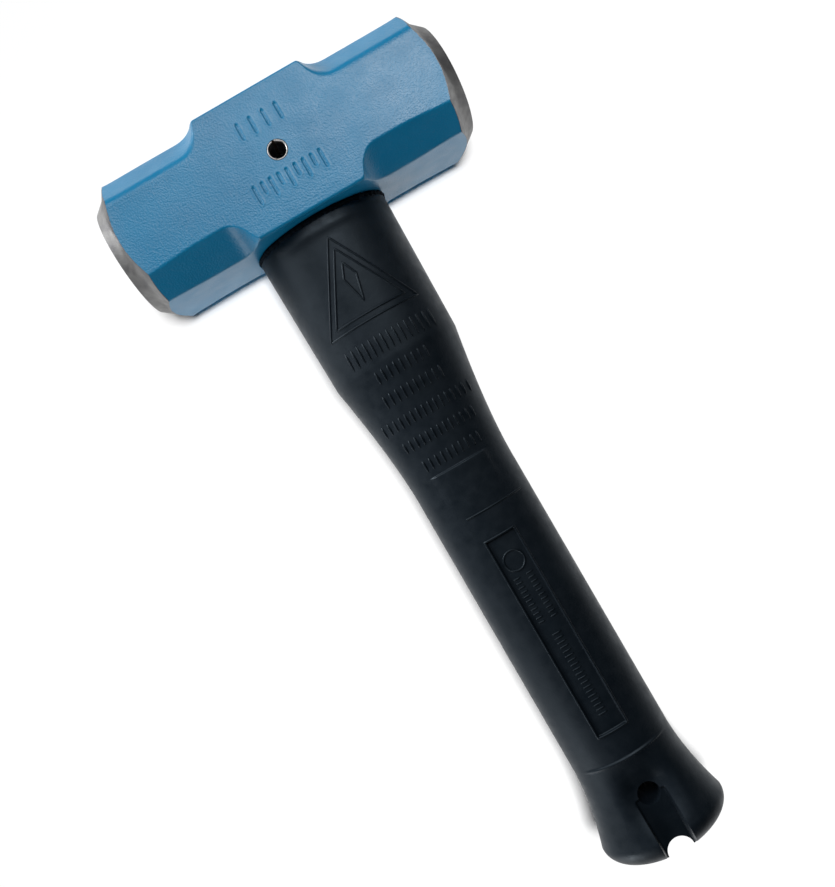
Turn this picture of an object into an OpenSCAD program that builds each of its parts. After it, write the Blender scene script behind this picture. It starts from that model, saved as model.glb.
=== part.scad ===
// Hand sledgehammer, lying on its back cheek.
// X runs along the striking axis, +Y points from the handle to the head, and +Z out of the front cheek.
// Distances called reach are measured from the head's centre line down the handle, towards the butt.

/* [Head] */
// Length between the two striking faces
head_length = 130.8; // [100:1:170]
// Height and thickness of the square bar
head_square = 46.4; // [42:0.2:56]
// Leg of the 45 degree corner chamfers
corner_chamfer = 9.6; // [4:0.2:12]
// Length of the square block around the eye
block_length = 41.2; // [40:0.2:50]
// Radius with which each chamfer runs out into the block
runout_radius = 9.5; // [8:0.5:14]
// Diameter of a striking face
face_diameter = 39.8; // [30:0.2:41]
// How far back the turned bevel reaches on the flats
flat_bevel = 4.3; // [2:0.1:8]
// How far back the turned bevel reaches at the corners
corner_bevel = 6.9; // [5:0.1:12]

/* [Eye] */
// Length of the eye, along the striking axis
eye_length = 34; // [30:0.5:36]
// Width of the eye, from cheek to cheek
eye_width = 22; // [21:0.5:26]

/* [Spring pin] */
// Outer diameter of the slotted spring pin
pin_diameter = 7.2; // [5:0.1:8]
// Wall of the spring pin
pin_wall = 0.75; // [0.5:0.05:1.5]
// Width of the pin's slot
pin_slot = 1; // [0.5:0.1:2]
// How far each end of the pin sits below the cheek
pin_recess = 0.2; // [0:0.1:1]

/* [Steel core] */
// Diameter of a core rod
rod_diameter = 5; // [3:0.1:5.4]
// Distance of the paired rods from the middle, along the striking axis
inner_rod_x = 7.5; // [7:0.1:8.5]
// Distance of the paired rods from the middle, from cheek to cheek
inner_rod_z = 5.2; // [4:0.1:6]
// Distance of the outer rods from the middle, along the striking axis
outer_rod_x = 13; // [12:0.1:13.5]
// Reach of the rods' lower ends
rod_reach = 238; // [180:1:240]
// Gap around a rod
rod_gap = 0.05; // [0:0.01:0.2]
// Length of the safety plate on the eye
plate_length = 38; // [36:0.5:40]
// Width of the safety plate
plate_width = 25; // [24:0.5:28]
// Thickness of the safety plate
plate_thickness = 3; // [2:0.1:5]
// How far the safety plate sits below the top of the head
plate_sink = 0.8; // [0:0.1:2]
// Gap around the safety plate in its seat
plate_gap = 0.2; // [0.05:0.05:0.5]
// Length of a spacer plate
spacer_length = 32; // [30:0.5:34]
// Width of a spacer plate
spacer_width = 18; // [17:0.5:20]
// Thickness of a spacer plate
spacer_thickness = 2; // [1:0.1:4]
// Reach of the spacer plate in the neck
neck_spacer_reach = 44; // [30:1:80]
// Reach of the spacer plate in the grip
mid_spacer_reach = 140; // [110:1:170]
// Thickness of the end plate that the rods finish in
end_plate_thickness = 4; // [2:0.1:6]

/* [Handle] */
// Reach of the butt's end
handle_reach = 277.4; // [262:1:340]
// Width of the neck, under the head
neck_width = 51; // [44:0.2:54]
// Thickness of the neck
neck_depth = 36; // [30:0.5:40]
// Share of the narrowing that the neck itself takes, before the taper
neck_draft = 0.17; // [0:0.01:0.4]
// Reach at which the taper starts
taper_start = 78; // [50:1:90]
// Reach at which the grip begins
taper_end = 126; // [100:1:140]
// Width of the grip
grip_width = 38; // [37.6:0.2:44]
// Thickness of the grip
grip_depth = 27; // [24:0.5:34]
// Distance from the butt's end to the grip's lower edge
butt_length = 40.6; // [36:0.2:50]
// Largest width of the butt
butt_width = 48.2; // [44:0.2:60]
// Largest thickness of the butt
butt_depth = 34; // [30:0.5:44]
// Length of the butt's rounded end
butt_round = 10.4; // [6:0.2:16]
// Rounding of the shoulder under the head
shoulder_round = 2.4; // [1:0.1:4]
// Gap around the handle's tenon in the eye
tenon_gap = 0.1; // [0:0.05:0.3]

/* [Handle details] */
// Width of the sunk panel on the front of the grip
panel_width = 11; // [6:0.5:14]
// Reach of the panel's upper end
panel_start = 149.5; // [130:0.5:170]
// Reach of the panel's lower end
panel_end = 226.5; // [190:0.5:232]
// Depth of the panel
panel_sink = 0.8; // [0.3:0.1:1]
// Diameter of the lanyard hole
lanyard_diameter = 8; // [5:0.5:10]
// Distance from the butt's end to the middle of the lanyard hole
lanyard_from_end = 24.4; // [22:0.2:28]
// Width of the cord grooves below the hole
groove_width = 11.2; // [8:0.2:14]
// Thickness left between the two cord grooves
groove_web = 20; // [16:0.5:24]
// Distance below the grip's edge at which the slope down to the hole begins
slope_start = 1; // [0:0.5:5]
// Width of the notch in the butt's end
notch_width = 10; // [6:0.2:12]
// Depth of the notch
notch_depth = 6.6; // [5:0.2:9]

/* [Hidden] */
$fn = 64;

blue_paint = [0.24, 0.46, 0.6];
bare_steel = [0.62, 0.62, 0.63];
black_rubber = [0.09, 0.1, 0.12];

// The origin is under the middle of the whole hammer, on the surface that it lies on.
half_square = head_square / 2;
head_y = (handle_reach - half_square) / 2;
head_z = half_square;

// The chamfer's depth, square to its own face
chamfer_depth = corner_chamfer / sqrt(2);
// How far the curved run-out reaches past the block
runout_length = sqrt(pow(runout_radius, 2) - pow(runout_radius - chamfer_depth, 2));
chamfer_start = block_length / 2 + runout_length;
// Distance of the octagon's corners from the striking axis
corner_radius = norm([half_square, half_square - corner_chamfer]);

plate_seat_depth = plate_sink + plate_thickness + plate_gap;
pin_length = head_square - 2 * pin_recess;
rod_top = half_square;
// Rod centres as [x, z], three on each side of the spring pin
rod_places = [
    [-inner_rod_x, inner_rod_z], [-inner_rod_x, -inner_rod_z], [-outer_rod_x, 0],
    [inner_rod_x, inner_rod_z], [inner_rod_x, -inner_rod_z], [outer_rod_x, 0]
];

grip_end = handle_reach - butt_length;
butt_widest = handle_reach - butt_round;
lanyard_reach = handle_reach - lanyard_from_end;
notch_reach = handle_reach - notch_depth + notch_width / 2;

// The share of the way from a to b
function share(v, a, b) = min(1, max(0, (v - a) / (b - a)));

// How much of the step from the grip up to the neck is left at a reach
taper_power = 1.58;
function narrowing(s) = s < taper_start
    ? 1 - neck_draft * share(s, half_square, taper_start)
    : (1 - neck_draft) * pow(1 - share(s, taper_start, taper_end), taper_power);

// One side of the handle along its reach: neck, taper, grip and flared butt
flare_power = 1.85;
function handle_size(s, neck, grip, butt) =
    grip + (neck - grip) * narrowing(s)
    + (butt - grip) * pow(share(s, grip_end, butt_widest), flare_power);
function handle_width(s) = handle_size(s, neck_width, grip_width, butt_width);
function handle_depth(s) = handle_size(s, neck_depth, grip_depth, butt_depth);

// The butt's end closes on a full, rounded curve.
end_power = 2.2;
end_angle = 78;
function end_reach(a) = butt_widest + butt_round * pow(sin(a) / sin(end_angle), 2 / end_power);
function end_share(a) = pow(cos(a), 2 / end_power);

// Rings of the handle's skin as [reach, width, depth]
shoulder_steps = 4;
body_steps = 30;
end_steps = 7;
shoulder_rings = [
    for (i = [0:shoulder_steps])
        let(a = 90 * i / shoulder_steps, inset = shoulder_round * (1 - sin(a)))
        let(s = half_square + shoulder_round * (1 - cos(a)))
        [s, handle_width(s) - 2 * inset, handle_depth(s) - 2 * inset]
];
body_start = half_square + shoulder_round;
body_rings = [
    for (i = [1:body_steps])
        let(s = body_start + (butt_widest - body_start) * i / body_steps)
        [s, handle_width(s), handle_depth(s)]
];
end_rings = [
    for (i = [1:end_steps])
        let(a = end_angle * i / end_steps)
        [end_reach(a), butt_width * end_share(a), butt_depth * end_share(a)]
];

// A closed skin through oval rings
ring_sides = 36;
module lofted_skin(rings) {
    points = [
        for (ring = rings, i = [0:ring_sides - 1])
            let(a = 360 * i / ring_sides)
            [ring[1] / 2 * cos(a), -ring[0], ring[2] / 2 * sin(a)]
    ];
    walls = [
        for (r = [0:len(rings) - 2], i = [0:ring_sides - 1])
            let(j = (i + 1) % ring_sides, low = r * ring_sides, high = low + ring_sides)
            each [[low + i, high + j, low + j], [low + i, high + i, high + j]]
    ];
    last = (len(rings) - 1) * ring_sides;
    top = [for (i = [0:ring_sides - 1]) i];
    bottom = [for (i = [1:ring_sides]) last + ring_sides - i];
    polyhedron(points, concat(walls, [top, bottom]));
}

// Puts a piece that is drawn about the head's centre where the lying hammer has it
module in_place() {
    translate([0, head_y, head_z]) children();
}

// A round-ended slab across the handle, with its upper side at the given reach
module slab(length, width, thickness, reach) {
    translate([0, -reach, 0])
        rotate([90, 0, 0])
            linear_extrude(thickness)
                union() {
                    square([length - width, width], center = true);
                    for (side = [-1, 1])
                        translate([side * (length - width) / 2, 0])
                            circle(d = width);
                }
}

// Round bars along the rods' centre lines, between two reaches
module rod_set(diameter, from_reach, to_reach) {
    for (place = rod_places)
        translate([place[0], -from_reach, place[1]])
            rotate([90, 0, 0])
                cylinder(d = diameter, h = to_reach - from_reach);
}

// A cylinder from cheek to cheek, through a point of the handle's middle line
module cross_bore(diameter, reach, length) {
    translate([0, -reach, 0])
        cylinder(d = diameter, h = length, center = true);
}

// What one chamfer takes off, with the curved run-out towards the block
module chamfer_cut() {
    width = 2 * corner_chamfer;
    translate([0, half_square, half_square])
        rotate([45, 0, 0])
            linear_extrude(width, center = true)
                union() {
                    translate([chamfer_start, -chamfer_depth])
                        square([head_length, head_square]);
                    translate([chamfer_start, runout_radius - chamfer_depth])
                        circle(r = runout_radius);
                }
}

module turned_envelope() {
    face_x = head_length / 2;
    outer = corner_radius + corner_chamfer;
    slope = (corner_bevel - flat_bevel) / (corner_radius - half_square);
    outer_x = face_x - corner_bevel - slope * (outer - corner_radius);
    half = [[face_diameter / 2, face_x], [half_square, face_x - flat_bevel], [outer, outer_x]];
    rotate([0, 90, 0])
        rotate_extrude()
            polygon([
                [0, face_x], half[0], half[1], half[2],
                [outer, -outer_x], [half_square, -half[1][1]], [face_diameter / 2, -face_x], [0, -face_x]
            ]);
}

module hammer_head() {
    color(blue_paint)
        in_place()
            difference() {
                intersection() {
                    cube([head_length, head_square, head_square], center = true);
                    turned_envelope();
                }
                for (x = [0, 1], y = [0, 1], z = [0, 1])
                    mirror([x, 0, 0])
                        mirror([0, y, 0])
                            mirror([0, 0, z])
                                chamfer_cut();
                slab(eye_length, eye_width, head_square + 2, -half_square - 1);
                slab(plate_length + 2 * plate_gap, plate_width + 2 * plate_gap,
                     plate_seat_depth + 1, -half_square - 1);
                cross_bore(pin_diameter, 0, head_square + 2);
            }
}

module spring_pin() {
    color(bare_steel)
        in_place()
            difference() {
                cross_bore(pin_diameter, 0, pin_length);
                cross_bore(pin_diameter - 2 * pin_wall, 0, pin_length + 2);
                translate([-pin_slot / 2, 0, -pin_length / 2 - 1])
                    cube([pin_slot, pin_diameter, pin_length + 2]);
            }
}

module safety_plate() {
    color(bare_steel)
        in_place()
            difference() {
                slab(plate_length, plate_width, plate_thickness, plate_sink - half_square);
                rod_set(rod_diameter + 2 * rod_gap, -half_square - 1, plate_thickness);
            }
}

module core_rod(index) {
    place = rod_places[index];
    color(bare_steel)
        in_place()
            translate([place[0], rod_top, place[1]])
                rotate([90, 0, 0])
                    cylinder(d = rod_diameter, h = rod_top + rod_reach);
}

module spacer(reach, thickness) {
    color(bare_steel)
        in_place()
            difference() {
                slab(spacer_length, spacer_width, thickness, reach);
                rod_set(rod_diameter + 2 * rod_gap, reach - 1, reach + thickness + 1);
            }
}

module end_plate() {
    spacer(rod_reach - end_plate_thickness, end_plate_thickness);
}

// The moulding in the eye, between the safety plate and the underside of the head
module tenon() {
    top = -half_square + plate_seat_depth;
    slab(eye_length - 2 * tenon_gap, eye_width - 2 * tenon_gap, half_square - top + shoulder_round, top);
}

// A groove for the lanyard cord: a slope down to the hole, then a level floor to the butt's end
module cord_groove() {
    slope_top = -grip_end - slope_start;
    slope_foot = -lanyard_reach + lanyard_diameter / 2;
    end = -handle_reach - 1;
    rotate([90, 0, 90])
        linear_extrude(groove_width, center = true)
            polygon([
                [slope_top, grip_depth / 2 + 0.3], [slope_foot, groove_web / 2], [end, groove_web / 2],
                [end, butt_depth], [slope_top, butt_depth]
            ]);
}

module end_notch() {
    linear_extrude(butt_depth + 2, center = true)
        union() {
            translate([0, -notch_reach])
                circle(d = notch_width);
            translate([-notch_width / 2, -notch_reach - notch_depth])
                square([notch_width, notch_depth]);
        }
}

module handle_grip() {
    color(black_rubber)
        in_place()
            difference() {
                union() {
                    lofted_skin(concat(shoulder_rings, body_rings, end_rings));
                    tenon();
                }
                rod_set(rod_diameter + 2 * rod_gap, -half_square, rod_reach);
                slab(spacer_length, spacer_width, spacer_thickness, neck_spacer_reach);
                slab(spacer_length, spacer_width, spacer_thickness, mid_spacer_reach);
                slab(spacer_length, spacer_width, end_plate_thickness, rod_reach - end_plate_thickness);
                cross_bore(pin_diameter, 0, head_square);
                translate([-panel_width / 2, -panel_end, grip_depth / 2 - panel_sink])
                    cube([panel_width, panel_end - panel_start, 2 * panel_sink]);
                cross_bore(lanyard_diameter, lanyard_reach, butt_depth + 2);
                for (back = [0, 1])
                    mirror([0, 0, back])
                        cord_groove();
                end_notch();
            }
}

hammer_head();
spring_pin();
safety_plate();
core_rod(0);  // core_rod_1
core_rod(1);  // core_rod_2
core_rod(2);  // core_rod_3
core_rod(3);  // core_rod_4
core_rod(4);  // core_rod_5
core_rod(5);  // core_rod_6
spacer(neck_spacer_reach, spacer_thickness);  // neck_spacer
spacer(mid_spacer_reach, spacer_thickness);  // mid_spacer
end_plate();
handle_grip();
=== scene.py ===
# %% [markdown]
# # A hand sledgehammer
# The real object is a forged steel head, pinned to a black rubber handle that is moulded over steel rods.
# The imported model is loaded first, because every piece takes its place from it. All lengths below are in
# millimetres, measured from the middle of the head, and are turned into metres as a mesh is made.

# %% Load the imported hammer
import math

import bpy
import numpy as np
from mathutils import Matrix, Vector, noise


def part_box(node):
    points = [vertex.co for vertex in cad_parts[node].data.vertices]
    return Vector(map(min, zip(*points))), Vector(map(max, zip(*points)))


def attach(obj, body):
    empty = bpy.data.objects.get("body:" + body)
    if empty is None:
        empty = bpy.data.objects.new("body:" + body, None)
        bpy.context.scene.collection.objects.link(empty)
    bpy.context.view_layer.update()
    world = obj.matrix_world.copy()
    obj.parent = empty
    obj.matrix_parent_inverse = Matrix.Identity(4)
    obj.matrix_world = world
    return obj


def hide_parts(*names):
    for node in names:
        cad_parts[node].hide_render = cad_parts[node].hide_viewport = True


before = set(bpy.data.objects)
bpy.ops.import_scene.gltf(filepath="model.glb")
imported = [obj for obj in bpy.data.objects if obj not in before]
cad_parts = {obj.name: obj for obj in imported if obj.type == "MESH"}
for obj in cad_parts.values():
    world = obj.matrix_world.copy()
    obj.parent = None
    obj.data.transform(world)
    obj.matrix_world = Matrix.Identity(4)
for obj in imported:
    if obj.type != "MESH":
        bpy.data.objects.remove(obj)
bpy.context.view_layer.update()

MM = 0.001
head_low, head_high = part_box("hammer_head")
HEAD = (head_low + head_high) / 2
HEAD_LENGTH = (head_high.x - head_low.x) / MM
HALF = (head_high.z - head_low.z) / MM / 2
grip_low, grip_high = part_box("handle_grip")
BUTT_REACH = (HEAD.y - grip_low.y) / MM
print("head", round(HEAD_LENGTH, 1), "x", round(2 * HALF, 1), "mm, butt at", round(BUTT_REACH, 1), "mm")

# %% [markdown]
# ## Small helpers
# A turned or lofted shape is a grid: rings of points, one after the other, with the same number of points in
# each. Building such a grid keeps its lines along the edges of the real shape, so that edges stay
# crisp and broad faces stay smooth, which a sculpted or remeshed block would lose.

# %% Helpers for meshes
def to_row(points):
    """Points about the head's middle, in millimetres, as places in the shared frame, in metres."""
    return np.asarray(points, float) * MM + np.array(HEAD)


def add_object(name, data):
    """A new object in the scene, at the origin."""
    made = bpy.data.objects.new(name, data)
    bpy.context.scene.collection.objects.link(made)
    return made


def mesh_object(name, points, faces, material=None):
    mesh = bpy.data.meshes.new(name)
    mesh.from_pydata(to_row(points).tolist(), [], faces)
    mesh.validate()
    if material is not None:
        mesh.materials.append(material)
    return add_object(name, mesh)


def grid_faces(rings, columns, first=0):
    """Quads between closed rings that run clockwise as seen from the first ring."""
    faces = []
    for r in range(rings - 1):
        low = first + r * columns
        for c in range(columns):
            d = (c + 1) % columns
            faces.append((low + c, low + d, low + columns + d, low + columns + c))
    return faces


def closed_grid(grid):
    """The points and faces of a grid of rings whose first and last rings are closed with a fan."""
    rings, columns = grid.shape[:2]
    points = grid.reshape(-1, 3)
    start, end = grid[0].mean(0), grid[-1].mean(0)
    points = np.vstack([points, start, end])
    first_pole, last_pole = len(points) - 2, len(points) - 1
    faces = grid_faces(rings, columns)
    last = (rings - 1) * columns
    for c in range(columns):
        d = (c + 1) % columns
        faces.append((first_pole, d, c))
        faces.append((last_pole, last + c, last + d))
    return points, faces


def face_outwards(piece):
    """Turns the whole mesh inside out if its volume comes out negative."""
    mesh = piece.data
    mesh.calc_loop_triangles()
    points = np.array([v.co for v in mesh.vertices])
    a, b, c = (points[[t.vertices[i] for t in mesh.loop_triangles]] for i in range(3))
    if np.einsum("ij,ij->i", a, np.cross(b, c)).sum() < 0:
        mesh.flip_normals()
    return piece


def smooth(piece, degrees):
    """Smooth shading, with a sharp edge wherever two faces meet at more than this angle."""
    piece.data.shade_smooth()
    piece.data.set_sharp_from_angle(angle=math.radians(degrees))
    return piece


def bake_modifiers(piece):
    """Replaces a piece's mesh with what its modifiers make of it, and drops the modifiers."""
    graph = bpy.context.evaluated_depsgraph_get()
    result = bpy.data.meshes.new_from_object(piece.evaluated_get(graph))
    piece.modifiers.clear()
    piece.data = result
    return piece


def combine(piece, operation, solids):
    """UNION joins closed solids to a closed piece, and DIFFERENCE cuts them out of it, one by one."""
    for solid in solids:
        face_outwards(solid)
        step = piece.modifiers.new("combine", "BOOLEAN")
        step.operation = operation
        step.solver = "EXACT"
        step.object = solid
        if solid.data.materials:
            step.material_mode = "TRANSFER"
    bake_modifiers(piece)
    for solid in solids:
        bpy.data.objects.remove(solid)
    return piece


def turned(name, profile, centre, axis, steps, material=None):
    """A solid of revolution: profile is [(distance along the axis, radius)], from end to end."""
    angles = np.linspace(0, 2 * math.pi, steps, endpoint=False)
    along = np.array([p[0] for p in profile])[:, None]
    radius = np.array([p[1] for p in profile])[:, None]
    flat = np.stack([radius * np.cos(angles), radius * np.sin(angles), along + 0 * angles], -1)
    order = {"x": [2, 0, 1], "y": [1, 2, 0], "z": [0, 1, 2]}[axis]
    points, faces = closed_grid(flat[..., order] + np.array(centre))
    return face_outwards(mesh_object(name, points, faces, material))


def stadium_ring(length, width, steps):
    """A round-ended outline as [(x, z)], with the same number of points on each round end."""
    turn = np.linspace(-math.pi / 2, math.pi / 2, steps)
    side = (length - width) / 2
    right = np.stack([side + width / 2 * np.cos(turn), width / 2 * np.sin(turn)], -1)
    return np.vstack([right, -right])


def round_ended_bar(name, layers, steps=24, material=None):
    """Round-ended outlines across the handle, one per layer of (reach, length, width)."""
    rings = []
    for reach, length, width in layers:
        outline = stadium_ring(length, width, steps)
        rings.append(np.stack([outline[:, 0], np.full(len(outline), -reach), outline[:, 1]], -1))
    points, faces = closed_grid(np.array(rings))
    return face_outwards(mesh_object(name, points, faces, material))


def eased(v, a, b):
    """0 up to a and 1 past b, with a smooth rise between them."""
    t = np.clip((np.asarray(v, float) - a) / (b - a), 0, 1)
    return t * t * (3 - 2 * t)


print("helpers ready")

# %% [markdown]
# ## Materials
# Each finish is a small node tree that reads Object coordinates, so that its grain has a real size in
# metres and stays on the piece. The paint is a satin enamel over forged steel: a deep blue with an orange
# peel of about a millimetre. A bump does the peel, because real geometry that fine would need millions of
# faces.

# %% Node helpers for materials
def new_material(name):
    material = bpy.data.materials.new(name)
    material.use_nodes = True
    tree = material.node_tree
    shader = tree.nodes["Principled BSDF"]
    place = tree.nodes.new("ShaderNodeTexCoord")
    return material, tree, shader, place.outputs["Object"]


def add_noise(tree, vector, size_mm, detail=2.0, roughness=0.5):
    node = tree.nodes.new("ShaderNodeTexNoise")
    node.inputs["Scale"].default_value = 1 / (size_mm * MM)
    node.inputs["Detail"].default_value = detail
    node.inputs["Roughness"].default_value = roughness
    tree.links.new(vector, node.inputs["Vector"])
    return node.outputs["Fac"]


def add_ramp(tree, value, stops):
    node = tree.nodes.new("ShaderNodeValToRGB")
    ramp = node.color_ramp
    while len(ramp.elements) < len(stops):
        ramp.elements.new(0.5)
    for element, (place, color) in zip(ramp.elements, stops):
        element.position = place
        element.color = (*color, 1.0) if len(color) == 3 else color
    tree.links.new(value, node.inputs["Fac"])
    return node.outputs["Color"]


def add_range(tree, value, low, high, new_low, new_high):
    node = tree.nodes.new("ShaderNodeMapRange")
    for name, number in (("From Min", low), ("From Max", high), ("To Min", new_low), ("To Max", new_high)):
        node.inputs[name].default_value = number
    tree.links.new(value, node.inputs["Value"])
    return node.outputs["Result"]


def add_mix(tree, factor, a, b):
    node = tree.nodes.new("ShaderNodeMix")
    node.data_type = "RGBA"
    tree.links.new(factor, node.inputs["Factor"])
    for socket, value in ((node.inputs["A"], a), (node.inputs["B"], b)):
        if isinstance(value, bpy.types.NodeSocket):
            tree.links.new(value, socket)
        else:
            socket.default_value = (*value, 1.0)
    return node.outputs["Result"]


def add_bump(tree, height, depth_mm, strength=1.0, under=None):
    node = tree.nodes.new("ShaderNodeBump")
    node.inputs["Strength"].default_value = strength
    node.inputs["Distance"].default_value = depth_mm * MM
    tree.links.new(height, node.inputs["Height"])
    if under is not None:
        tree.links.new(under, node.inputs["Normal"])
    return node.outputs["Normal"]


def add_attribute(tree, name):
    node = tree.nodes.new("ShaderNodeAttribute")
    node.attribute_name = name
    return node.outputs["Fac"]


def link_shader(tree, shader, color, rough, normal):
    """Links the three inputs that vary over every finish."""
    for name, value in (("Base Color", color), ("Roughness", rough), ("Normal", normal)):
        tree.links.new(value, shader.inputs[name])


print("node helpers ready")

# %% Blue enamel
def blue_enamel():
    material, tree, shader, place = new_material("blue_enamel")
    blotches = add_noise(tree, place, 18, 3)
    blue = add_ramp(tree, blotches, [(0.3, (0.003, 0.171, 0.346)), (0.7, (0.005, 0.198, 0.391))])
    edge = add_attribute(tree, "edge_gap")
    ragged = add_noise(tree, place, 1.5, 3)
    reach = add_range(tree, ragged, 0.3, 0.7, 0.1, 0.5)
    share = tree.nodes.new("ShaderNodeMath")
    share.operation = "DIVIDE"
    tree.links.new(edge, share.inputs[0])
    tree.links.new(reach, share.inputs[1])
    worn = add_ramp(tree, share.outputs[0], [(0.0, (1, 1, 1)), (1.0, (0, 0, 0))])
    color = add_mix(tree, worn, blue, (0.12, 0.085, 0.06))
    rough = add_range(tree, add_noise(tree, place, 6, 4), 0.3, 0.7, 0.32, 0.42)
    waves = add_bump(tree, add_noise(tree, place, 9, 2), 0.05, 0.5)
    peel = add_bump(tree, add_noise(tree, place, 0.65, 1.0, 0.5), 0.16, 0.9, waves)
    link_shader(tree, shader, color, rough, peel)
    shader.inputs["Specular IOR Level"].default_value = 0.36
    shader.inputs["Coat Weight"].default_value = 0.15
    shader.inputs["Coat Roughness"].default_value = 0.25
    return material


def turned_steel():
    """Steel with fine rings round the striking axis, as a lathe leaves them."""
    material, tree, shader, place = new_material("turned_steel")
    centred = tree.nodes.new("ShaderNodeMapping")
    centred.inputs["Scale"].default_value = (0, 1, 1)
    centred.inputs["Location"].default_value = (0, -HEAD.y, -HEAD.z)
    tree.links.new(place, centred.inputs["Vector"])
    radius = tree.nodes.new("ShaderNodeVectorMath")
    radius.operation = "LENGTH"
    tree.links.new(centred.outputs["Vector"], radius.inputs[0])
    ring = tree.nodes.new("ShaderNodeCombineXYZ")
    tree.links.new(radius.outputs["Value"], ring.inputs["X"])
    grooves = add_noise(tree, ring.outputs["Vector"], 0.35, 3, 0.6)
    tone = add_noise(tree, place, 5, 3)
    steel = add_ramp(tree, tone, [(0.3, (0.13, 0.13, 0.134)), (0.7, (0.215, 0.215, 0.212))])
    rough = add_range(tree, add_noise(tree, place, 2, 4), 0.3, 0.7, 0.36, 0.5)
    link_shader(tree, shader, steel, rough, add_bump(tree, grooves, 0.05, 0.5))
    tangent = tree.nodes.new("ShaderNodeTangent")
    tangent.direction_type = "RADIAL"
    tangent.axis = "X"
    tree.links.new(tangent.outputs["Tangent"], shader.inputs["Tangent"])
    shader.inputs["Metallic"].default_value = 1.0
    shader.inputs["Anisotropic"].default_value = 0.6
    return material


def plain_steel(name, dark, light, low_rough, high_rough, stretch):
    """Steel whose scratches are drawn out along one axis: stretch is how much longer each axis makes them."""
    material, tree, shader, place = new_material(name)
    drawn = tree.nodes.new("ShaderNodeMapping")
    drawn.inputs["Scale"].default_value = [1 / s for s in stretch]
    tree.links.new(place, drawn.inputs["Vector"])
    scratches = add_noise(tree, drawn.outputs["Vector"], 0.4, 4, 0.6)
    steel = add_ramp(tree, scratches, [(0.3, dark), (0.7, light)])
    rough = add_range(tree, scratches, 0.3, 0.7, low_rough, high_rough)
    link_shader(tree, shader, steel, rough, add_bump(tree, scratches, 0.03, 0.5))
    shader.inputs["Metallic"].default_value = 1.0
    return material


def black_rubber(name, least_rough, most_rough, shine):
    material, tree, shader, place = new_material(name)
    clouds = add_noise(tree, place, 14, 4)
    black = add_ramp(tree, clouds, [(0.3, (0.0042, 0.0078, 0.0122)), (0.7, (0.0062, 0.0104, 0.0158))])
    rough = add_range(tree, add_noise(tree, place, 3.5, 5), 0.3, 0.7, least_rough, most_rough)
    skin = add_bump(tree, add_noise(tree, place, 4, 3), 0.12, 0.5)
    grain = add_bump(tree, add_noise(tree, place, 0.45, 2), 0.05, 0.5, skin)
    link_shader(tree, shader, black, rough, grain)
    shader.inputs["Specular Tint"].default_value = (0.72, 0.87, 1.0, 1.0)
    shader.inputs["Specular IOR Level"].default_value = shine
    return material


PAINT = blue_enamel()
TURNED = turned_steel()
PIN_STEEL = plain_steel("spring_pin_steel", (0.4, 0.4, 0.395), (0.62, 0.62, 0.61), 0.26, 0.4, (1, 1, 8))
ROD_STEEL = plain_steel("drawn_rod_steel", (0.2, 0.2, 0.21), (0.38, 0.38, 0.38), 0.3, 0.45, (1, 12, 1))
PLATE_STEEL = plain_steel("plate_steel", (0.24, 0.24, 0.25), (0.4, 0.4, 0.39), 0.32, 0.5, (6, 1, 1))
RUBBER = black_rubber("black_rubber", 0.4, 0.54, 0.42)
TORN_RUBBER = black_rubber("torn_rubber", 0.8, 1.0, 0.12)
print("materials:", [m.name for m in (PAINT, TURNED, PIN_STEEL, ROD_STEEL, PLATE_STEEL, RUBBER, TORN_RUBBER)])

# %% [markdown]
# ## The head
# The head is a square bar whose four corners are chamfered at 45 degrees towards both ends. Each chamfer runs
# out in a curve, where the round cutter of a forging die leaves the square block around the eye. Both ends
# are then turned on a lathe. The section changes along the bar but keeps its eight sides, so the bar is one
# grid of rings. The last ring of the painted bar lies exactly where the turned cone cuts it, which gives the
# scalloped line between paint and bare steel.

# %% The section of the bar
BLOCK_HALF = 20.6
CHAMFER_LEG = 9.6
EDGE_LEG = 0.6
LOWER_BOW = 1.3
RUNOUT_RADIUS = 9.5
FACE_RADIUS = 19.9
FLAT_BEVEL = 4.3
CORNER_BEVEL = 6.9

chamfer_depth = CHAMFER_LEG / math.sqrt(2)
runout = math.sqrt(RUNOUT_RADIUS**2 - (RUNOUT_RADIUS - chamfer_depth) ** 2)
CHAMFER_START = BLOCK_HALF + runout


def chamfer_leg(x):
    """How much of each corner is gone at x: a mere edge on the block, the full chamfer past the run-out."""
    near = np.abs(x) + np.linspace(-0.9, 0.9, 9)
    inside = np.clip(CHAMFER_START - near, 0, runout)
    depth = chamfer_depth - RUNOUT_RADIUS + np.sqrt(RUNOUT_RADIUS**2 - inside**2)
    leg = math.sqrt(2) * np.where(near < BLOCK_HALF, 0, depth)
    return float(np.maximum(leg, EDGE_LEG).mean())


FRONT_COLUMNS, FLAT_COLUMNS, CHAMFER_COLUMNS, ARC_COLUMNS = 130, 24, 10, 7
# Edge radii, in the order of the corners below: the upper die is more worn than the lower one.
CORNER_RADII = [4.5, 1.6, 1.6, 4.5, 1.4, 1.4, 1.4, 1.4]


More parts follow.
